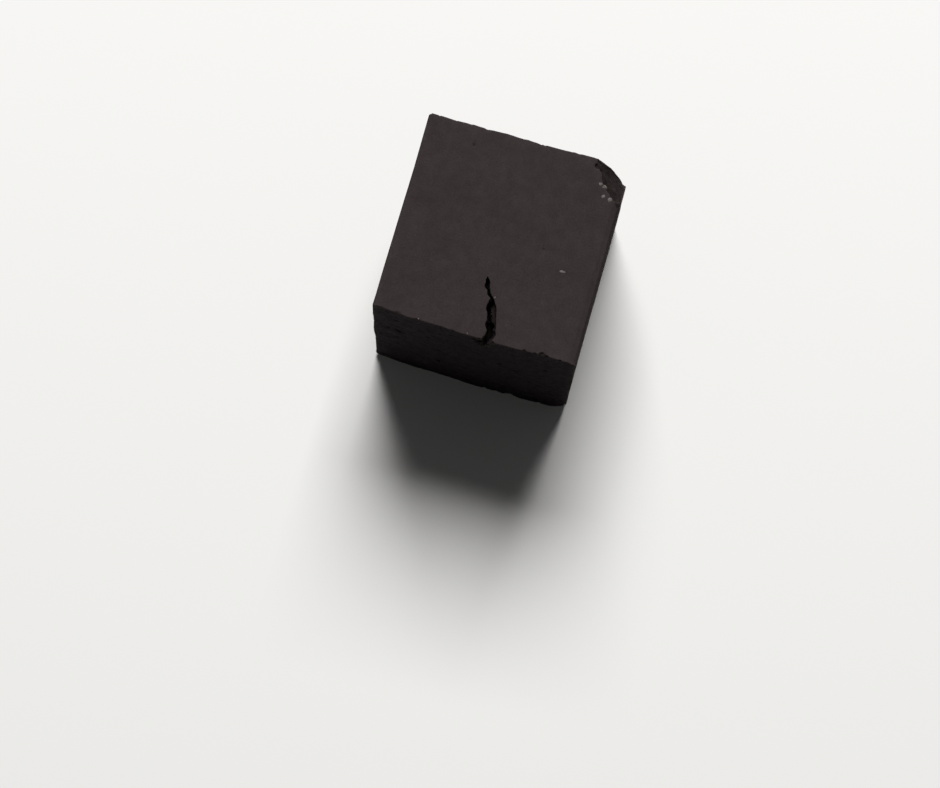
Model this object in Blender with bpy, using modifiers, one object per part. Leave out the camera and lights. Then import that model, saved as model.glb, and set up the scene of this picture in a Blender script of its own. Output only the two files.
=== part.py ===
"""Coconut charcoal briquette: one pressed block, cut to length, with a crack and a broken corner.

Pressed through a die along Y, so the long edges are rounded and the sides are smooth.
The front (-Y) and back (+Y) were cut by a knife, so their edges are sharp and ragged.
Metres, +Z up. The origin is under the middle of the flat bottom.
"""

import random

import bmesh
import bpy
from mathutils import Vector, noise

MM = 0.001

# Driving sizes: the die gives the width and height, the knife gives the length
WIDTH = 25.0 * MM
LENGTH = 25.3 * MM
HEIGHT = 25.0 * MM

# The knife cut the front a little askew, and its two ends lie further back than its middle
FRONT_SKEW = 0.5 * MM
FRONT_BOW = 0.3 * MM

# Rounding of the edges: three kinds from the die, one from the knife
ROUND_TOP_RIGHT = 1.0 * MM
ROUND_TOP_LEFT = 0.5 * MM
ROUND_BOTTOM = 0.7 * MM
ROUND_CUT = 0.2 * MM
ROUND_SEGMENTS = 2

# Unevenness of the dried paste: size of the swellings, and their height on each kind of face
CELL = 1.4 * MM
SWELL_SIZE = 6.0 * MM
RIPPLE_SIZE = 2.0 * MM
PRESSED_SWELL = 0.10 * MM
PRESSED_RIPPLE = 0.02 * MM
CUT_SWELL = 0.16 * MM
CUT_RIPPLE = 0.13 * MM
CUT_REACH = 0.6 * MM
LEVELLED_HEIGHT = 3.0 * MM
FLAT_BOTTOM = 0.001 * MM

# Crack in the top: points along it from its inner end out past the front face (x, y, width, depth)
CRACK = (
    (-0.30, -4.65, 0.16, 0.4),
    (-0.22, -5.50, 0.50, 1.0),
    (-0.12, -6.15, 0.58, 1.3),
    (0.21, -6.70, 0.50, 1.5),
    (0.58, -7.08, 0.42, 1.6),
    (0.80, -7.46, 0.38, 1.7),
    (0.92, -7.88, 0.64, 1.9),
    (0.80, -8.53, 0.76, 2.1),
    (1.02, -9.23, 0.50, 2.4),
    (1.26, -9.92, 0.50, 2.6),
    (1.50, -10.55, 1.12, 2.8),
    (1.60, -11.08, 1.00, 2.9),
    (1.74, -11.60, 0.98, 3.0),
    (1.50, -12.25, 0.70, 3.1),
    (1.22, -12.90, 0.46, 3.3),
    (1.10, -13.70, 0.40, 3.4),
)

# The right lip of the crack has crumbled into a shallow slope (x, y, width, depth)
CRUMBLED_LIP = (
    (1.08, -7.48, 0.30, 0.15),
    (1.27, -8.05, 0.72, 0.35),
    (1.35, -8.65, 0.98, 0.45),
    (1.55, -9.25, 0.98, 0.45),
    (1.72, -9.88, 0.90, 0.50),
    (1.92, -10.50, 0.80, 0.60),
    (1.98, -11.05, 0.80, 0.70),
    (2.12, -11.60, 0.90, 0.85),
    (1.95, -12.15, 0.95, 1.00),
    (1.60, -12.80, 0.90, 1.20),
    (1.40, -13.70, 0.90, 1.30),
)
WEDGE_RISE = 0.6 * MM
WEDGE_FLOOR_WIDTH = 0.35

# Corners that broke away: how far each break reaches along X, Y and Z
TOP_CORNER_REACH = Vector((4.3, 5.2, 8.0)) * MM
BASE_CORNER_REACH = Vector((2.0, 2.3, 3.4)) * MM

# Seen from above a break's rim bows into the block (power over 1); seen from the side its face
# bulges out of it (power under 1)
BREAK_RIM_POWER = 1.3
BREAK_FACE_POWER = 0.8
BREAK_CELLS = 20
BREAK_SPAN = 1.5
BREAK_MARGIN = 0.2
BREAK_RISE = 2.0 * MM
BREAK_RIPPLE = 0.30 * MM
BREAK_RIPPLE_SIZE = 1.3 * MM

# Single chips (x, y, z, radius), then the radius and spacing of the small ones along the cut edges
CHIPS = (
    (0.45, -12.90, 24.00, 0.60),
    (0.60, -12.95, 23.00, 0.72),
    (0.85, -12.95, 21.95, 0.58),
    (8.50, -12.90, 25.15, 0.75),
    (-6.40, -12.70, 25.25, 0.60),
    (8.70, 11.75, 25.15, 0.50),
    (9.30, 11.50, 25.00, 0.50),
    (-12.70, -12.40, 16.50, 0.80),
    (-12.80, 12.85, 8.00, 1.10),
    (12.90, 12.75, 4.80, 0.90),
    (-4.50, 13.00, 0.40, 0.95),
    (5.50, -12.90, -0.10, 0.85),
)
CHIP_SMALL = (0.22 * MM, 0.50 * MM)
CHIP_SPACING = 2.1 * MM
CHIP_OUTSET = 0.45
CHIP_DETAIL = 2
CHIP_RAGGEDNESS = 0.60
SEED = 11

CHARCOAL_COLOUR = (0.040, 0.032, 0.031, 1.0)
CHARCOAL_ROUGHNESS = 0.88


def clear_scene():
    """Remove every object, so that the model starts from nothing."""
    for scene_object in list(bpy.data.objects):
        bpy.data.objects.remove(scene_object, do_unlink=True)


def new_collection(name):
    """Add a collection to the scene."""
    collection = bpy.data.collections.new(name)
    bpy.context.scene.collection.children.link(collection)
    return collection


def mesh_object(name, bm, collection):
    """Turn a finished bmesh into an object of its own."""
    mesh = bpy.data.meshes.new(name)
    bm.to_mesh(mesh)
    bm.free()
    shape = bpy.data.objects.new(name, mesh)
    collection.objects.link(shape)
    return shape


def charcoal_material():
    """Matte brownish black of dry coconut charcoal."""
    material = bpy.data.materials.new("coconut charcoal")
    material.use_nodes = True
    shader = material.node_tree.nodes["Principled BSDF"]
    shader.inputs["Base Color"].default_value = CHARCOAL_COLOUR
    shader.inputs["Roughness"].default_value = CHARCOAL_ROUGHNESS
    shader.inputs["Metallic"].default_value = 0.0
    return material


def edge_radius(edge):
    """Rounding of one edge of the plain box: the die's edges run along Y, the rest are cut."""
    start, end = (vert.co for vert in edge.verts)
    middle = (start + end) / 2
    if abs(start.y - end.y) < LENGTH / 2:
        return ROUND_CUT
    if middle.z < HEIGHT / 2:
        return ROUND_BOTTOM
    return ROUND_TOP_RIGHT if middle.x > 0 else ROUND_TOP_LEFT


def rounded_box(collection):
    """The box from the die and the knife, with each kind of edge rounded by its own radius."""
    bm = bmesh.new()
    bmesh.ops.create_cube(bm, size=1.0)
    bmesh.ops.scale(bm, vec=(WIDTH, LENGTH, HEIGHT), verts=bm.verts)
    bmesh.ops.translate(bm, vec=(0.0, 0.0, HEIGHT / 2), verts=bm.verts)
    weight = bm.edges.layers.float.new("bevel_weight_edge")
    for edge in bm.edges:
        edge[weight] = edge_radius(edge) / ROUND_TOP_RIGHT
    box = mesh_object("briquette", bm, collection)
    rounding = box.modifiers.new("Rounded edges", "BEVEL")
    rounding.limit_method = "WEIGHT"
    rounding.width = ROUND_TOP_RIGHT
    rounding.segments = ROUND_SEGMENTS
    return box


def split_long_edges(bm, axis, length):
    """Cut every edge that runs the box's length along one axis into cells."""
    long_edges = []
    for edge in bm.edges:
        span = edge.verts[0].co - edge.verts[1].co
        if abs(span[axis]) > length / 2:
            long_edges.append(edge)
    bmesh.ops.subdivide_edges(bm, edges=long_edges, cuts=round(length / CELL) - 1)


def cut_share(point):
    """1 on the cut faces, falling to 0 a short way along the pressed sides."""
    depth = LENGTH / 2 - abs(point.y)
    return max(0.0, 1.0 - depth / CUT_REACH)


def unevenness(point):
    """How far the dried paste strays from the true box at a point."""
    cut = cut_share(point)
    swell = PRESSED_SWELL + (CUT_SWELL - PRESSED_SWELL) * cut
    ripple = PRESSED_RIPPLE + (CUT_RIPPLE - PRESSED_RIPPLE) * cut
    wide = noise.noise_vector(point / SWELL_SIZE) * swell
    fine = noise.noise_vector(point / RIPPLE_SIZE) * ripple
    return wide + fine


def front_slant(point):
    """How far the slanting, bowed front cut moves a point, less and less towards the back."""
    forward = 0.5 - point.y / LENGTH
    across = point.x / WIDTH
    bow = 4.0 * across * across * FRONT_BOW
    return Vector((0.0, (bow - across * FRONT_SKEW) * forward, 0.0))


def dried_block(collection):
    """The rounded box with its faces divided, slanted and made uneven, on a flat bottom."""
    box = rounded_box(collection)
    evaluated = box.evaluated_get(bpy.context.evaluated_depsgraph_get())
    bm = bmesh.new()
    bm.from_mesh(evaluated.to_mesh())
    evaluated.to_mesh_clear()
    for axis, length in enumerate((WIDTH, LENGTH, HEIGHT)):
        split_long_edges(bm, axis, length)
    for vert in bm.verts:
        offset = unevenness(vert.co) + front_slant(vert.co)
        offset.z *= min(vert.co.z / LEVELLED_HEIGHT, 1.0)
        vert.co += offset
    bottom = [face for face in bm.faces if all(vert.co.z < FLAT_BOTTOM for vert in face.verts)]
    bmesh.ops.dissolve_faces(bm, faces=bottom, use_verts=False)
    box.modifiers.clear()
    bm.to_mesh(box.data)
    bm.free()
    return box


def wedge_cutter(name, stations, collection):
    """A wedge along a path on the top, as wide and deep at each station as the station says."""
    bm = bmesh.new()
    bmesh.ops.create_cube(bm, size=1.0)
    lengthwise = [edge for edge in bm.edges if abs(edge.verts[0].co.x - edge.verts[1].co.x) > 0.5]
    bmesh.ops.subdivide_edges(bm, edges=lengthwise, cuts=len(stations) - 2)
    path = [Vector((x, y, HEIGHT / MM)) * MM for x, y, _, _ in stations]
    for vert in bm.verts:
        index = round((vert.co.x + 0.5) * (len(stations) - 1))
        width, depth = stations[index][2:]
        ahead = path[min(index + 1, len(path) - 1)] - path[max(index - 1, 0)]
        across = Vector((-ahead.y, ahead.x, 0.0)).normalized() * width * MM * vert.co.y
        if vert.co.z > 0:
            vert.co = path[index] + across + Vector((0.0, 0.0, WEDGE_RISE))
        else:
            vert.co = path[index] + across * WEDGE_FLOOR_WIDTH - Vector((0.0, 0.0, depth * MM))
    return mesh_object(name, bm, collection)


def break_depth(across, along):
    """Depth of a break as a share of its reach; outside its rim the slope goes on up."""
    spread = sum(max(share, 0.0) ** BREAK_RIM_POWER for share in (across, along)) ** (1 / BREAK_RIM_POWER)
    if spread > 1.0:
        return 1.0 - spread
    return (1.0 - spread ** BREAK_FACE_POWER) ** (1 / BREAK_FACE_POWER)


def corner_break(name, corner, inward, reach, collection):
    """A corner that broke away: a block whose rough lower face follows the break."""
    bm = bmesh.new()
    bmesh.ops.create_cube(bm, size=1.0)
    rim = [edge for edge in bm.edges if all(vert.co.z < 0 for vert in edge.verts)]
    bmesh.ops.subdivide_edges(bm, edges=rim, cuts=BREAK_CELLS - 1, use_grid_fill=True)
    for vert in bm.verts:
        across = (vert.co.x + 0.5) * BREAK_SPAN - BREAK_MARGIN
        along = (vert.co.y + 0.5) * BREAK_SPAN - BREAK_MARGIN
        rough = vert.co.z < 0
        down = max(break_depth(across, along) * reach.z, -BREAK_RISE / 2) if rough else -BREAK_RISE
        vert.co = corner + Vector((across * reach.x, along * reach.y, down)) * inward
        if rough:
            vert.co += noise.noise_vector(vert.co / BREAK_RIPPLE_SIZE) * BREAK_RIPPLE
    bmesh.ops.recalc_face_normals(bm, faces=bm.faces)
    return mesh_object(name, bm, collection)


def chip_cutter(centre, radius, collection):
    """One chip: a small ragged ball."""
    bm = bmesh.new()
    bmesh.ops.create_icosphere(bm, subdivisions=CHIP_DETAIL, radius=radius)
    for vert in bm.verts:
        raggedness = noise.noise((vert.co + centre) / radius) * CHIP_RAGGEDNESS
        vert.co = centre + vert.co * (1.0 + raggedness)
    return mesh_object("chip", bm, collection)


def small_chips(start, end, outward, collection, rng):
    """Small chips at uneven steps along one cut edge."""
    count = round((end - start).length / CHIP_SPACING)
    for step in range(count):
        radius = rng.uniform(*CHIP_SMALL)
        place = start.lerp(end, (step + rng.random()) / count)
        place += front_slant(place) + outward.normalized() * radius * CHIP_OUTSET
        chip_cutter(place, radius, collection)


def chip_cutters(collection):
    """The single chips, then the small ones round the edges of both cut faces."""
    for x, y, z, radius in CHIPS:
        chip_cutter(Vector((x, y, z)) * MM, radius * MM, collection)
    rng = random.Random(SEED)
    half_width = WIDTH / 2
    for side in (-1, 1):
        y = side * LENGTH / 2
        for z, rise in ((HEIGHT, 1), (0.0, -1)):
            left = Vector((-half_width, y, z))
            right = Vector((half_width, y, z))
            small_chips(left, right, Vector((0.0, side, rise)), collection, rng)
        for x in (-half_width, half_width):
            foot = Vector((x, y, 0.0))
            head = Vector((x, y, HEIGHT))
            small_chips(foot, head, Vector((x / half_width, side, 0.0)), collection, rng)


def cut_away(block, cutters):
    """Take everything in the cutters' collection off the block."""
    for cutter in cutters.objects:
        cutter.hide_render = True
        cutter.display_type = "WIRE"
    cut = block.modifiers.new("Crack, broken corners and chips", "BOOLEAN")
    cut.operation = "DIFFERENCE"
    cut.operand_type = "COLLECTION"
    cut.collection = cutters
    cut.solver = "EXACT"


def main():
    """Build the briquette."""
    clear_scene()
    noise.seed_set(SEED)
    model = new_collection("coconut charcoal briquette")
    cutters = new_collection("cutters")
    block = dried_block(model)
    block.data.materials.append(charcoal_material())
    wedge_cutter("crack", CRACK, cutters)
    wedge_cutter("crumbled lip", CRUMBLED_LIP, cutters)
    top_corner = Vector((WIDTH / 2, LENGTH / 2, HEIGHT))
    corner_break("top corner break", top_corner, Vector((-1, -1, -1)), TOP_CORNER_REACH, cutters)
    base_corner = Vector((WIDTH / 2, -LENGTH / 2, 0.0))
    corner_break("base corner break", base_corner, Vector((-1, 1, 1)), BASE_CORNER_REACH, cutters)
    chip_cutters(cutters)
    cut_away(block, cutters)


main()
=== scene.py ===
# %% [markdown]
# # A coconut charcoal briquette
# This lesson dresses one small cube of charcoal for its picture. The real one is coconut shell,
# charred, ground, mixed with starch, pressed through a square die and cut with a knife. So it has
# four smooth pressed sides, two rougher cut ends, ragged edges between them, one drying crack
# and corners that broke in handling. All of that shape is in the CAD solid already. What is
# still missing is what a hand lens would show: grain, pits, crumbs, bits of ash and a dull sheen.

# %% Load the frame
import math

import bpy
from mathutils import Matrix, Vector, noise


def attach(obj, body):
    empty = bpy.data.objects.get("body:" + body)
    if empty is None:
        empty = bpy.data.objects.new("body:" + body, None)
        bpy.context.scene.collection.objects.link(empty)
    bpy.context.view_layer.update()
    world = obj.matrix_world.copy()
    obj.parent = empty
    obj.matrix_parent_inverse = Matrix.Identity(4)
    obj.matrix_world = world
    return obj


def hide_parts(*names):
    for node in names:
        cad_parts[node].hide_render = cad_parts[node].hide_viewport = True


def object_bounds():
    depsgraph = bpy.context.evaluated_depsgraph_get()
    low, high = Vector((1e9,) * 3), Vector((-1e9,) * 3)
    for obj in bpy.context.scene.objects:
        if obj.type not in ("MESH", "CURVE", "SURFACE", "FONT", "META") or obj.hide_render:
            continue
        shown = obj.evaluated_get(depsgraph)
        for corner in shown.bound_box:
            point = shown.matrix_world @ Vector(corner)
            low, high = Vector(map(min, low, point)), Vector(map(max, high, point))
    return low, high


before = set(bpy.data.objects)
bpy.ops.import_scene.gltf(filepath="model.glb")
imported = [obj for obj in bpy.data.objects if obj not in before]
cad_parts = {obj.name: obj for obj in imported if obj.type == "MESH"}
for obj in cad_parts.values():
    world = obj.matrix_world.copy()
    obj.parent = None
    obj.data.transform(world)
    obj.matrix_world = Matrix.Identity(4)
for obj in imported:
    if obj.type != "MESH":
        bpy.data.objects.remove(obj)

MM = 0.001


def size_in_mm(box):
    """The sides of a box along X, Y and Z, in millimetres."""
    return [round((high - low) / MM, 2) for low, high in zip(*box)]


cad_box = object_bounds()
print("the block measures", size_in_mm(cad_box), "mm over all")

# %% [markdown]
# ## The camera
# The photograph looks steeply down on the block. Its camera was found from the corners and
# upright edges of the block: where it stands, where its middle ray meets the level of the top
# face, how long its lens is, and how far it is rolled. The lens is given in image pixels first,
# because that is what the corners fix, and turned into millimetres on a 36 mm sensor.

# %% Camera
CAMERA_PLACE = Vector((13.23, -80.78, 310.00)) * MM
CAMERA_AIM = Vector((1.48, -19.24, 25.00)) * MM
CAMERA_ROLL = math.radians(5.04)
FOCAL_PIXELS = 2500
IMAGE_WIDTH_PIXELS = 940
SENSOR_WIDTH = 36.0
NEAREST_SEEN = 10.0 * MM
FARTHEST_SEEN = 10.0

bpy.ops.object.camera_add(location=CAMERA_PLACE)
camera = bpy.context.object
camera.name = "camera"
gaze = (CAMERA_AIM - CAMERA_PLACE).to_track_quat("-Z", "Y")
camera.rotation_euler = (gaze.to_matrix() @ Matrix.Rotation(CAMERA_ROLL, 3, "Z")).to_euler()
camera.data.sensor_width = SENSOR_WIDTH
camera.data.lens = FOCAL_PIXELS * SENSOR_WIDTH / IMAGE_WIDTH_PIXELS
camera.data.clip_start = NEAREST_SEEN
camera.data.clip_end = FARTHEST_SEEN
bpy.context.scene.camera = camera
print("lens", round(camera.data.lens, 1), "mm, standing", round(CAMERA_PLACE.length, 3), "m away")

# %% [markdown]
# ## Floor and light
# The floor is one plain pale sheet, a hair below the block so that the two never flicker. There
# are two soft sources: a wide panel high behind the block, which lights the top and leaves the
# front in shadow as the photograph does, and a weak even surround that keeps the shadow open.
# The tone curve is the plain one, so that a surface's own colour can be compared with the
# photograph directly.

# %% Floor
FLOOR_SIDE = 3.0
FLOOR_DROP = 0.02 * MM

bpy.ops.object.select_all(action="DESELECT")
bpy.ops.mesh.primitive_plane_add(size=FLOOR_SIDE, location=(0.0, 0.0, -FLOOR_DROP))
floor = bpy.context.object
floor.name = "floor"
bpy.ops.object.transform_apply(location=True)
print("floor", FLOOR_SIDE, "m wide")

# %% Light
PANEL_PLACE = Vector((-0.18, 0.98, 1.10))
PANEL_SIDE = 0.80
PANEL_POWER = 34.0
SURROUND_COLOUR = (1.0, 1.0, 1.0, 1.0)
SURROUND_STRENGTH = 0.05

bpy.ops.object.light_add(type="AREA", location=PANEL_PLACE)
panel = bpy.context.object
panel.name = "panel light"
panel.rotation_euler = (-PANEL_PLACE).to_track_quat("-Z", "Y").to_euler()
panel.data.size = PANEL_SIDE
panel.data.energy = PANEL_POWER

surround = bpy.data.worlds.new("surround")
surround.use_nodes = True
background = surround.node_tree.nodes["Background"]
background.inputs["Color"].default_value = SURROUND_COLOUR
background.inputs["Strength"].default_value = SURROUND_STRENGTH
bpy.context.scene.world = surround
bpy.context.scene.view_settings.view_transform = "Standard"
print("panel light at", [round(value, 2) for value in PANEL_PLACE], "m")

# %% [markdown]
# ## The block as a fine mesh
# The CAD solid has the right shape in a few thousand triangles, too few for grain. It could be
# modelled again from a cube, but then the crack and the breaks would never quite agree with the
# solid that other tools use. So a copy of the solid is welded and remeshed in even little
# cells instead, as digital clay is before its finest detail. The cells are much smaller than
# the crack is wide, so it stays open. Cells step across a slanting face, so they are smoothed
# twice.

# %% Weld a copy of the solid
WELD = 0.001 * MM

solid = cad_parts["briquette"]
block = bpy.data.objects.new("charcoal_block", solid.data.copy())
bpy.context.scene.collection.objects.link(block)
bpy.ops.object.select_all(action="DESELECT")
block.select_set(True)
bpy.context.view_layer.objects.active = block
bpy.ops.object.mode_set(mode="EDIT")
bpy.ops.mesh.select_all(action="SELECT")
bpy.ops.mesh.remove_doubles(threshold=WELD)
bpy.ops.object.mode_set(mode="OBJECT")
print("welded copy:", len(block.data.vertices), "points")

# %% Remesh it in even cells
CELL = 0.10 * MM
SMOOTH_PASSES = 2

remesh = block.modifiers.new("even cells", "REMESH")
remesh.mode = "VOXEL"
remesh.voxel_size = CELL
bpy.ops.object.modifier_apply(modifier=remesh.name)
smooth = block.modifiers.new("no steps", "SMOOTH")
smooth.iterations = SMOOTH_PASSES
bpy.ops.object.modifier_apply(modifier=smooth.name)
print("remeshed:", len(block.data.vertices), "points")

# %% [markdown]
# ## Ragged lips
# A crack in pressed grit runs round the grains, so its lips zigzag by a few tenths of a
# millimetre. Both lips zigzag together, because they were one surface before it opened. The
# points near the crack are therefore pushed sideways by one and the same smooth noise, which
# fades out a little way off and further down.

# %% Nearness to the crack
HEIGHT = 25.0 * MM
CRACK_LINE = [Vector(place) * MM for place in (
    (-0.30, -4.65), (-0.12, -6.15), (0.92, -7.88), (0.80, -8.53), (1.60, -11.10), (1.22, -12.90))]
LIP_REACH = 1.3 * MM
LIP_DEPTH = 4.0 * MM
CRACK_FARTHEST = 4.0 * MM


def ramp(value, start, end):
    """0 before the start, 1 after the end, and smooth between."""
    share = min(max((value - start) / (end - start), 0.0), 1.0)
    return share * share * (3.0 - 2.0 * share)


def distance_to_crack(place):
    """Distance of a place on the top from the line of the crack."""
    nearest = math.inf
    for start, end in zip(CRACK_LINE, CRACK_LINE[1:]):
        along = end - start
        share = min(max((place - start).dot(along) / along.length_squared, 0.0), 1.0)
        nearest = min(nearest, (place - start - along * share).length)
    return nearest


def near_crack(point):
    """1 on the line of the crack at the top, falling to 0 a little way off and further down.

    Most points are plainly too deep or too far to the side, so they are left out before any
    distance is worked out.
    """
    below = HEIGHT - point.z
    if below > LIP_DEPTH or abs(point.x) > CRACK_FARTHEST:
        return 0.0
    return (1.0 - ramp(distance_to_crack(point.xy), 0.0, LIP_REACH)) * (1.0 - ramp(below, 0.0, LIP_DEPTH))


lips = [near_crack(vertex.co) for vertex in block.data.vertices]
print("points near the crack:", sum(near > 0.0 for near in lips))

# %% Push the lips
LIP_GRAIN = 0.50 * MM
LIP_PUSH = 0.22 * MM
SEED = 5

noise.seed_set(SEED)
for vertex, near in zip(block.data.vertices, lips):
    if near > 0.0:
        push = noise.noise_vector(vertex.co / LIP_GRAIN) * LIP_PUSH * near
        vertex.co += Vector((push.x, push.y, 0.0))
print("lips pushed by up to about", round(LIP_PUSH / MM, 2), "mm")

# %% [markdown]
# ## Where the surface is pressed, cut, broken or worn
# The kinds of surface look different, so each point is told which it lies on. A broken one lies
# below the faces that the block had when it was whole, and at the crack and the broken top
# corner a slight dip already counts. A point on a cut end lies close to the end and faces along
# Y. A worn one lies close to an edge of the block, where handling rubbed the grit smooth and a
# little paler. Each share is a number on the mesh, and the material reads the same numbers.

# %% Depth below the whole block's faces
WIDTH = 25.0 * MM
LENGTH = 25.3 * MM
FRONT_SKEW = 0.5 * MM
FRONT_BOW = 0.3 * MM


def depths_inside(point):
    """How far a point lies below the side, end and level faces nearest to it on the whole block.

    The front end is askew and bowed, and this fades to nothing at the back end.
    """
    forward = 0.5 - point.y / LENGTH
    across = point.x / WIDTH
    slant = (4.0 * across * across * FRONT_BOW - across * FRONT_SKEW) * forward
    side = WIDTH / 2 - abs(point.x)
    end = LENGTH / 2 - abs(point.y - slant)
    level = HEIGHT / 2 - abs(point.z - HEIGHT / 2)
    return side, end, level


deepest = max(min(depths_inside(vertex.co)) for vertex in block.data.vertices)
print("the deepest point of the crack and breaks lies", round(deepest / MM, 2), "mm inside")

# %% Broken, cut and worn shares
BREAK_START = 0.24 * MM
BREAK_FULL = 0.50 * MM
# The lips of the crack count as broken, so they take the broken colour and its painted shade.
CRUMBLED_START = 0.04 * MM
CRUMBLED_FULL = 0.20 * MM
CRUMBLED_GAIN = 3.0
TOP_CORNER = Vector((WIDTH / 2, LENGTH / 2, HEIGHT))
CORNER_NEAR = 4.9 * MM
CORNER_FAR = 5.7 * MM
CORNER_SHALLOW = 0.35
CUT_FULL = 0.5 * MM
CUT_EDGE = 1.2 * MM
TURNS_TO_CUT = 0.55
FACES_CUT = 0.85
WORN_EDGE = 0.9 * MM


def broken_share_of(point, near):
    """How far a point is broken, from its depth, the broken corner and its nearness to the crack."""
    side, end, level = depths_inside(point)
    off_corner = ramp((point - TOP_CORNER).length, CORNER_NEAR, CORNER_FAR)
    shallow = CORNER_SHALLOW + (1.0 - CORNER_SHALLOW) * off_corner
    deep = ramp(min(side, end, level), BREAK_START * shallow, BREAK_FULL * shallow)
    crumbled = ramp(level, CRUMBLED_START, CRUMBLED_FULL) * min(near * CRUMBLED_GAIN, 1.0)
    return max(deep, crumbled)


def kind_of_surface(vertex, near):
    """How far a point is broken, cut and worn, each from 0 to 1.

    At an edge of the block a point is close to two faces, so its second depth is small too.
    """
    side, end, level = depths_inside(vertex.co)
    broken_share = broken_share_of(vertex.co, near)
    near_end = 1.0 - ramp(end, CUT_FULL, CUT_EDGE)
    cut_share = ramp(abs(vertex.normal.y), TURNS_TO_CUT, FACES_CUT) * (1.0 - broken_share) * near_end
    second_depth = sorted((side, end, level))[1]
    worn_share = 1.0 - ramp(second_depth, 0.0, WORN_EDGE)
    return broken_share, cut_share, worn_share


broken, cut, worn = zip(*map(kind_of_surface, block.data.vertices, lips))
for name, shares in (("broken", broken), ("cut", cut), ("worn", worn)):
    print(name, "share of all points:", round(sum(shares) / len(shares), 3))

# %% [markdown]
# ## Grain and pits
# Ground charcoal packs like damp sand. On the pressed sides the die smoothed it and left faint
# drag lines and a few small pits. The knife tore grains out of the ends, and a break follows
# the grains themselves. A pit is where a grain came out: the cells of a Voronoi pattern are
# drawn like lots, so that only some of them hold a pit, each of its own size. A set of pits is
# given by the spacing of its cells, the share of them that hold one, and the radius and depth
# of the largest. Every point sinks and none rises, so the block stays within the size of its
# solid. All this fades out over the lowest half millimetre, so that the block stands flat.

# %% Pits
PIT_WOBBLE = 0.55
PIT_WOBBLE_SIZE = 0.6
LOT_SPREAD = 91.7
SMALLEST_PIT = 0.35
PIT_WALL = 0.8
PRESSED_PITS = (2.0 * MM, 0.26, 0.30 * MM, 0.10 * MM)
CUT_PITS = (1.6 * MM, 0.40, 0.55 * MM, 0.20 * MM)


def pit(point, spacing, filled, radius, deep):
    """Depth at a point of the pit that its cell holds, if the cell's lot is among the filled ones."""
    wobble = noise.noise_vector(point / (radius * PIT_WOBBLE_SIZE)) * PIT_WOBBLE * radius / spacing
    distances, centres = noise.voronoi(point / spacing + wobble)
    lot = 0.5 + 0.5 * noise.cell(centres[0] * LOT_SPREAD)
    if lot > filled:
        return 0.0
    size = SMALLEST_PIT + (1.0 - SMALLEST_PIT) * lot / filled
    return deep * size * ramp(1.0 - distances[0] * spacing / (radius * size), 0.0, PIT_WALL)


print("deepest pit in a cut end:", round(CUT_PITS[-1] / MM, 2), "mm")

# %% Grain
DRAG_STRETCH = Vector((1.0, 0.12, 1.0))
FINE_SIZE = 0.35 * MM
PRESSED_GRAIN = 0.016 * MM
BROKEN_GRAIN_SIZE = 0.75 * MM
BROKEN_GRAIN = 0.11 * MM
BROKEN_FINE = 0.05 * MM
# How wide and how deep each layer of grain on a cut end is, in millimetres.
CUT_ROUGHNESS = ((1.60, 0.06), (0.60, 0.09), (0.30, 0.09))


def half_noise(place):
    """Smooth noise from 0 to 1."""
    return 0.5 + 0.5 * noise.noise(place)


def sink(point, broken_share, cut_share):
    """How far a point sinks by its grain, and by its pit."""
    pressed_share = max(0.0, 1.0 - broken_share - cut_share)
    grain = 0.0
    hollow = 0.0
    if pressed_share > 0.0:
        grain += pressed_share * PRESSED_GRAIN * half_noise(point * DRAG_STRETCH / FINE_SIZE)
        hollow += pressed_share * pit(point, *PRESSED_PITS)
    if cut_share > 0.0:
        grain += cut_share * sum(deep * MM * half_noise(point / (wide * MM))
                                 for wide, deep in CUT_ROUGHNESS)
        hollow += cut_share * pit(point, *CUT_PITS)
    if broken_share > 0.0:
        grain += broken_share * BROKEN_GRAIN * noise.voronoi(point / BROKEN_GRAIN_SIZE)[0][0]
        grain += broken_share * BROKEN_FINE * half_noise(point / FINE_SIZE)
    return grain, hollow


print("grain up to", round(sum(deep for _, deep in CUT_ROUGHNESS), 2), "mm deep on the cut ends")

# %% Sink every point
FOOT = 0.5 * MM
HOLLOW_FULL = 0.16 * MM

noise.seed_set(SEED)
places = []
pit_shade_shares = []
for vertex, broken_share, cut_share in zip(block.data.vertices, broken, cut):
    grain, hollow = sink(vertex.co, broken_share, cut_share)
    above_foot = ramp(vertex.co.z, 0.0, FOOT)
    places.append(vertex.co - vertex.normal * (grain + hollow) * above_foot)
    pit_shade_shares.append(min(hollow / HOLLOW_FULL, 1.0))
for vertex, place in zip(block.data.vertices, places):
    vertex.co = place

for name, shares in (("broken", broken), ("cut", cut), ("worn", worn), ("hollow", pit_shade_shares)):
    layer = block.data.attributes.new(name, "FLOAT", "POINT")
    layer.data.foreach_set("value", shares)
print("points in a pit:", sum(share > 0 for share in pit_shade_shares), "of", len(pit_shade_shares))

# %% [markdown]
# ## Fewer triangles where nothing happens
# Even cells waste triangles on the smooth sides. Decimate merges them there first, and keeps
# them in the grain, the crack and the breaks. Every cell has four corners, so it counts as two
# triangles. The finished block then takes the solid's place.

# %% Thin out the mesh
MOST_TRIANGLES = 190000

triangles = 2 * len(block.data.polygons)
thin = block.modifiers.new("fewer triangles", "DECIMATE")
thin.ratio = min(1.0, MOST_TRIANGLES / triangles)
bpy.ops.object.modifier_apply(modifier=thin.name)
bpy.ops.object.shade_smooth()
print("triangles:", triangles, "thinned to", len(block.data.polygons))

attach(block, "root")
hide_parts("briquette")

# %% [markdown]
# ## Grains of ash
# A few grains of the shell had burned to ash before they were pressed. They show as pale specks
# where the corner broke, as one fleck on the top and as crumbs along the edges. Each is a small
# rough ball, sunk into the surface below it so that only its crown shows, and never higher than
# the solid. They could be painted on, but real grains catch the light from any side.

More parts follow.
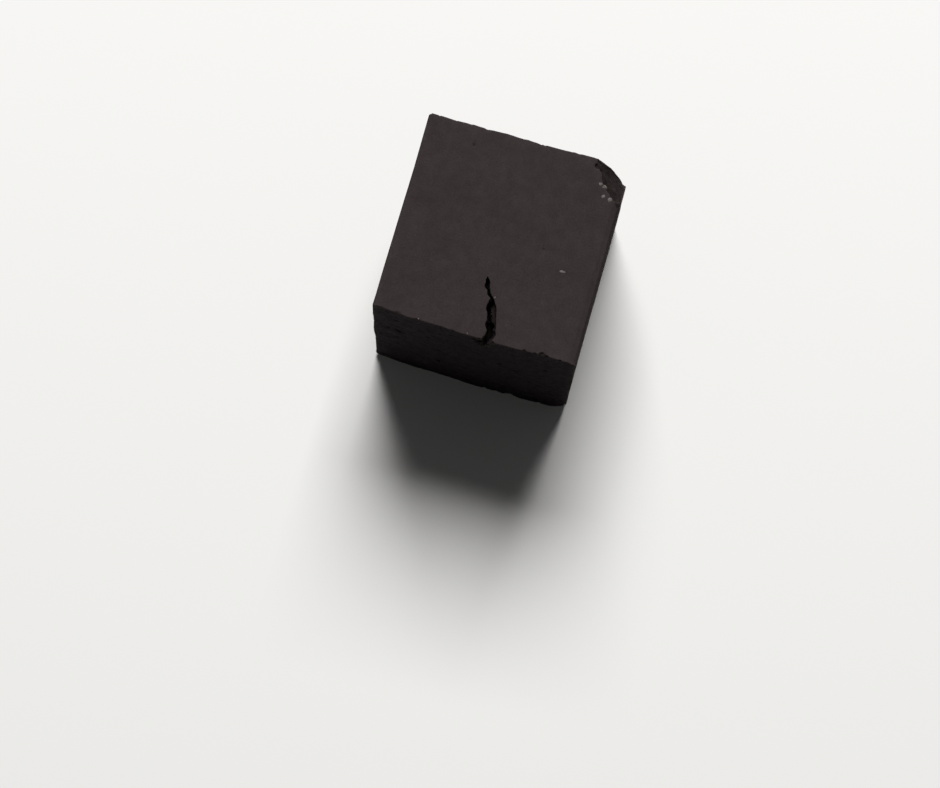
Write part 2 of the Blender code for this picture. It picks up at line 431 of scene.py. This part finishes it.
# %% One pale grain
GRAIN_PROUD = 0.16
CROWN_SHARE = math.sqrt(1.0 - (1.0 - GRAIN_PROUD) ** 2)
GRAIN_RAGGEDNESS = 0.22
GRAIN_DETAIL = 3
RAY_START = HEIGHT + 5.0 * MM
DOWN = Vector((0.0, 0.0, -1.0))
TOP = cad_box[1][2]


def pale_grain(x, y, seen_width, narrowness):
    """One rough grain, sunk at a place in millimetres until its crown has the width seen along X."""
    _, surface, _, _ = block.ray_cast(Vector((x * MM, y * MM, RAY_START)), DOWN)
    radius = seen_width * MM / 2 / CROWN_SHARE
    centre = surface + DOWN * (radius * (1.0 - GRAIN_PROUD))
    bpy.ops.object.select_all(action="DESELECT")
    bpy.ops.mesh.primitive_ico_sphere_add(subdivisions=GRAIN_DETAIL, radius=radius, location=centre)
    grain = bpy.context.object
    grain.scale = (1.0, narrowness, 1.0)
    bpy.ops.object.transform_apply(location=True, scale=True)
    for vertex in grain.data.vertices:
        out = vertex.co - centre
        vertex.co = centre + out * (1.0 + GRAIN_RAGGEDNESS * noise.noise(vertex.co / radius))
        vertex.co.z = min(vertex.co.z, TOP)
    return grain


print("a crown is", round(CROWN_SHARE, 2), "as wide as its grain")

# %% All pale grains
# X, Y and the width seen along X, in millimetres, and the width along Y as a share of it.
GRAINS = (
    (9.45, 9.65, 0.40, 1.0), (9.98, 9.39, 0.42, 1.0), (10.22, 8.26, 0.40, 1.0),
    (11.01, 8.01, 0.44, 1.0), (8.00, -2.02, 0.80, 0.52), (1.16, -7.24, 0.18, 1.0),
    (-6.80, -12.15, 0.15, 1.0), (-0.80, -12.30, 0.12, 1.0),
)

made = [pale_grain(*grain) for grain in GRAINS]
bpy.ops.object.select_all(action="DESELECT")
for grain in made:
    grain.select_set(True)
bpy.context.view_layer.objects.active = made[0]
bpy.ops.object.join()
ash_grains = bpy.context.object
ash_grains.name = "ash_grains"
bpy.ops.object.shade_smooth()
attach(ash_grains, "root")
print("ash grains:", len(GRAINS), "with", len(ash_grains.data.polygons), "triangles")

# %% [markdown]
# ## Helpers for materials
# Colours are written as sRGB hex values, the numbers that a picture shows, but light adds up in
# linear values, so one function turns them. Patterns are given by a real size in millimetres.
# Every node comes from one function, so that a material reads as a list of what it is made of.

# %% Colours, sizes and nodes
def linear(hex_colour):
    """An sRGB hex colour as linear red, green, blue and alpha."""
    channels = [int(hex_colour[start:start + 2], 16) / 255 for start in (0, 2, 4)]
    return [value / 12.92 if value <= 0.04045 else ((value + 0.055) / 1.055) ** 2.4
            for value in channels] + [1.0]


def per_metre(size_mm):
    """The scale of a pattern whose features are this many millimetres wide."""
    return 1.0 / (size_mm * MM)


def add_node(tree, kind, settings=None, **links):
    """Add a shader node with its settings, and give its inputs values or sources.

    An input goes by its name, with _ for a space, or by its number, such as _0.
    """
    node = tree.nodes.new(kind)
    for name, value in (settings or {}).items():
        setattr(node, name, value)
    for name, value in links.items():
        socket = node.inputs[int(name[1:])] if name[1:].isdigit() else node.inputs[name.replace("_", " ")]
        if isinstance(value, bpy.types.NodeSocket):
            tree.links.new(value, socket)
        else:
            socket.default_value = value
    return node


def new_material(name):
    """A new node material, with its tree and its Principled shader."""
    material = bpy.data.materials.new(name)
    material.use_nodes = True
    return material, material.node_tree, material.node_tree.nodes["Principled BSDF"]


print("middle grey 808080 gives back", round(linear("808080")[0], 3), "of the light")

# %% [markdown]
# ## Charcoal
# Dry pressed charcoal is nearly black and matte: light goes into its pores and stays there, so
# it gives back only about three parts in a hundred, and its sheen is weak and wide. The starch
# binder gives it a slight brown cast. The torn ends are coloured darker than the pressed sides,
# which is painted shade, and the broken places darker still, partly their own blacker fracture
# and partly painted shade. Edges rubbed in the sack are a little paler, pits carry painted
# shade, and a speck of pale dust lies here and there. The index of refraction of carbon in a
# binder is high, but the pores hide its shine, so the specular level is turned down instead.
#
# Its patterns go from coarse to fine. Mottle is where the mix was damper, and blotches are
# smears from the die. Grit is the ground shell itself, in cells that the blotches warp, so that
# no two look alike. Specks stand for the finest powder, which is really under a tenth of a
# millimetre, and are drawn about twice as coarse so that they show.

# %% Charcoal patterns
MOTTLE_SIZE = 5.0
MOTTLE_DETAIL = 3.0
BLOTCH_SIZE = 1.4
BLOTCH_DETAIL = 2.0
GRIT_SIZE = 0.45
SPECK_SIZE = 0.20
SPECK_DETAIL = 4.0
DUST_SPACING = 4.5
WARP = 1.2


def charcoal_patterns(tree):
    """The patterns of charcoal by name, each as the output of its node."""
    place = add_node(tree, "ShaderNodeTexCoord").outputs["Object"]
    mottle = add_node(tree, "ShaderNodeTexNoise", Vector=place, Scale=per_metre(MOTTLE_SIZE),
                      Detail=MOTTLE_DETAIL)
    blotch = add_node(tree, "ShaderNodeTexNoise", Vector=place, Scale=per_metre(BLOTCH_SIZE),
                      Detail=BLOTCH_DETAIL)
    speck = add_node(tree, "ShaderNodeTexNoise", Vector=place, Scale=per_metre(SPECK_SIZE),
                     Detail=SPECK_DETAIL)
    warped = add_node(tree, "ShaderNodeVectorMath", {"operation": "MULTIPLY_ADD"},
                      _0=blotch.outputs["Color"], _1=(WARP * MM,) * 3, _2=place).outputs["Vector"]
    dust = add_node(tree, "ShaderNodeTexVoronoi", Vector=warped, Scale=per_metre(DUST_SPACING))
    grit = add_node(tree, "ShaderNodeTexVoronoi", Vector=warped, Scale=per_metre(GRIT_SIZE))
    return {"mottle": mottle.outputs["Fac"], "blotch": blotch.outputs["Fac"], "speck": speck.outputs["Fac"],
            "dust": dust.outputs["Distance"], "grit": grit.outputs["Color"]}


print("patterns from", MOTTLE_SIZE, "mm down to", SPECK_SIZE, "mm")

# %% Charcoal colour
PRESSED_LIGHT = "383131"
PRESSED_DARK = "312b2b"
# The cut ends' colour is darkened into painted shade.
CUT_COLOUR_PAINTED_SHADE = "231e20"
# Broken places: a darker fracture, partly their own colour and partly painted shade.
BROKEN_COLOUR_PAINTED_SHADE = "201b1a"
WORN_COLOUR = "3d3535"
WORN_MOST = 0.3
DUST_COLOUR = "5a5050"
DUST_MOST = 0.22
# A speck of dust fades out between these two shares of its spacing.
DUST_CORE = 0.02
DUST_RIM = 0.09


def charcoal_colour(tree, patterns, shares):
    """Two browns of the pressed sides, and the cut, broken, worn and dusty places laid over them."""
    colour = add_node(tree, "ShaderNodeMix", {"data_type": "RGBA"}, _0=patterns["mottle"],
                      _6=linear(PRESSED_DARK), _7=linear(PRESSED_LIGHT)).outputs[2]
    worn_amount = add_node(tree, "ShaderNodeMath", {"operation": "MULTIPLY"}, _0=shares["worn"],
                           _1=WORN_MOST).outputs[0]
    dust_amount = add_node(tree, "ShaderNodeMapRange", Value=patterns["dust"], From_Min=DUST_CORE,
                           From_Max=DUST_RIM, To_Min=DUST_MOST, To_Max=0.0).outputs["Result"]
    for amount, over in ((shares["cut"], CUT_COLOUR_PAINTED_SHADE), (shares["broken"], BROKEN_COLOUR_PAINTED_SHADE),
                         (worn_amount, WORN_COLOUR), (dust_amount, DUST_COLOUR)):
        colour = add_node(tree, "ShaderNodeMix", {"data_type": "RGBA"}, _0=amount,
                          _6=colour, _7=linear(over)).outputs[2]
    return colour


print("pressed charcoal gives back", round(linear(PRESSED_LIGHT)[1], 3), "of green light")

# %% Charcoal shades
# Pits are darkened in colour by this much: painted shade.
PIT_PAINTED_SHADE = 0.55
# Noise seldom leaves the range between these two.
NOISE_LOW = 0.3
NOISE_HIGH = 0.7
SPECK_CONTRAST = 0.14
BLOTCH_CONTRAST = 0.08
GRIT_CONTRAST = 0.35
GRIT_ON_PRESSED = 0.15


def charcoal_shades(tree, patterns, shares):
    """What the colour is multiplied by: painted shade in pits, specks, blotches, and grit where rough."""
    pits = add_node(tree, "ShaderNodeMapRange", Value=shares["hollow"], To_Min=1.0, To_Max=PIT_PAINTED_SHADE)
    specks, blotches = [
        add_node(tree, "ShaderNodeMapRange", Value=patterns[name], From_Min=NOISE_LOW, From_Max=NOISE_HIGH,
                 To_Min=1.0 - contrast, To_Max=1.0 + contrast)
        for name, contrast in (("speck", SPECK_CONTRAST), ("blotch", BLOTCH_CONTRAST))]
    rough = add_node(tree, "ShaderNodeMath", {"operation": "ADD", "use_clamp": True}, _0=shares["cut"],
                     _1=shares["broken"])
    bare = add_node(tree, "ShaderNodeMapRange", Value=rough.outputs[0], To_Min=GRIT_ON_PRESSED, To_Max=1.0)
    tones = add_node(tree, "ShaderNodeMapRange", Value=patterns["grit"], To_Min=1.0 - GRIT_CONTRAST,
                     To_Max=1.0 + GRIT_CONTRAST)
    grit = add_node(tree, "ShaderNodeMix", _0=bare.outputs["Result"], _2=1.0, _3=tones.outputs["Result"])
    return [node.outputs[0] for node in (pits, specks, blotches, grit)]


print("a pit's floor keeps", PIT_PAINTED_SHADE, "of the colour")

# %% Charcoal material
BUMP_STRENGTH = 0.45
BUMP_HEIGHT = 0.05 * MM
CHARCOAL_ROUGHNESS = 0.85
CHARCOAL_SPECULAR = 0.03


def charcoal():
    """Pressed coconut charcoal, knife-cut at its ends and broken at its corners."""
    material, tree, shader = new_material("pressed coconut charcoal")
    patterns = charcoal_patterns(tree)
    shares = {kind: add_node(tree, "ShaderNodeAttribute", {"attribute_name": kind}).outputs["Fac"]
              for kind in ("cut", "broken", "worn", "hollow")}
    tone = charcoal_colour(tree, patterns, shares)
    for shade in charcoal_shades(tree, patterns, shares):
        tone = add_node(tree, "ShaderNodeVectorMath", {"operation": "SCALE"}, _0=tone,
                        Scale=shade).outputs["Vector"]
    bump = add_node(tree, "ShaderNodeBump", Height=patterns["speck"], Strength=BUMP_STRENGTH,
                    Distance=BUMP_HEIGHT)
    tree.links.new(tone, shader.inputs["Base Color"])
    tree.links.new(bump.outputs["Normal"], shader.inputs["Normal"])
    shader.inputs["Roughness"].default_value = CHARCOAL_ROUGHNESS
    shader.inputs["Specular IOR Level"].default_value = CHARCOAL_SPECULAR
    return material


block.data.materials.clear()
block.data.materials.append(charcoal())
print("charcoal made of", len(block.active_material.node_tree.nodes), "nodes")

# %% [markdown]
# ## Ash
# Ash is what is left when charcoal burns: soft, chalky and grey. Here grit clings to it, so it
# is a middle grey with a slight brown cast, darker in patches, and without any shine.

# %% Ash material
ASH_LIGHT = "706a68"
ASH_DARK = "4c4645"
ASH_PATCH_SIZE = 0.22
ASH_PATCH_DETAIL = 3.0
ASH_PATCH_START = 0.35
ASH_PATCH_END = 0.60
ASH_ROUGHNESS = 0.95
ASH_SPECULAR = 0.05


def ash():
    """Chalky grey ash with grit in it."""
    material, tree, shader = new_material("chalky ash")
    place = add_node(tree, "ShaderNodeTexCoord").outputs["Object"]
    patches = add_node(tree, "ShaderNodeTexNoise", Vector=place, Scale=per_metre(ASH_PATCH_SIZE),
                       Detail=ASH_PATCH_DETAIL)
    share = add_node(tree, "ShaderNodeMapRange", Value=patches.outputs["Fac"], From_Min=ASH_PATCH_START,
                     From_Max=ASH_PATCH_END)
    tone = add_node(tree, "ShaderNodeMix", {"data_type": "RGBA"}, _0=share.outputs["Result"],
                    _6=linear(ASH_DARK), _7=linear(ASH_LIGHT))
    tree.links.new(tone.outputs[2], shader.inputs["Base Color"])
    shader.inputs["Roughness"].default_value = ASH_ROUGHNESS
    shader.inputs["Specular IOR Level"].default_value = ASH_SPECULAR
    return material


ash_grains.data.materials.append(ash())
print("ash made of", len(ash_grains.active_material.node_tree.nodes), "nodes")

# %% [markdown]
# ## The floor's finish
# A matte pale sheet of paper. It only has to carry the block's shadow.

# %% Floor material
FLOOR_COLOUR = "e8e7e5"
FLOOR_ROUGHNESS = 0.9


def pale_floor():
    """Matte pale studio floor."""
    material, _, shader = new_material("pale studio floor")
    shader.inputs["Base Color"].default_value = linear(FLOOR_COLOUR)
    shader.inputs["Roughness"].default_value = FLOOR_ROUGHNESS
    return material


floor.data.materials.append(pale_floor())
print("floor finished in", FLOOR_COLOUR)
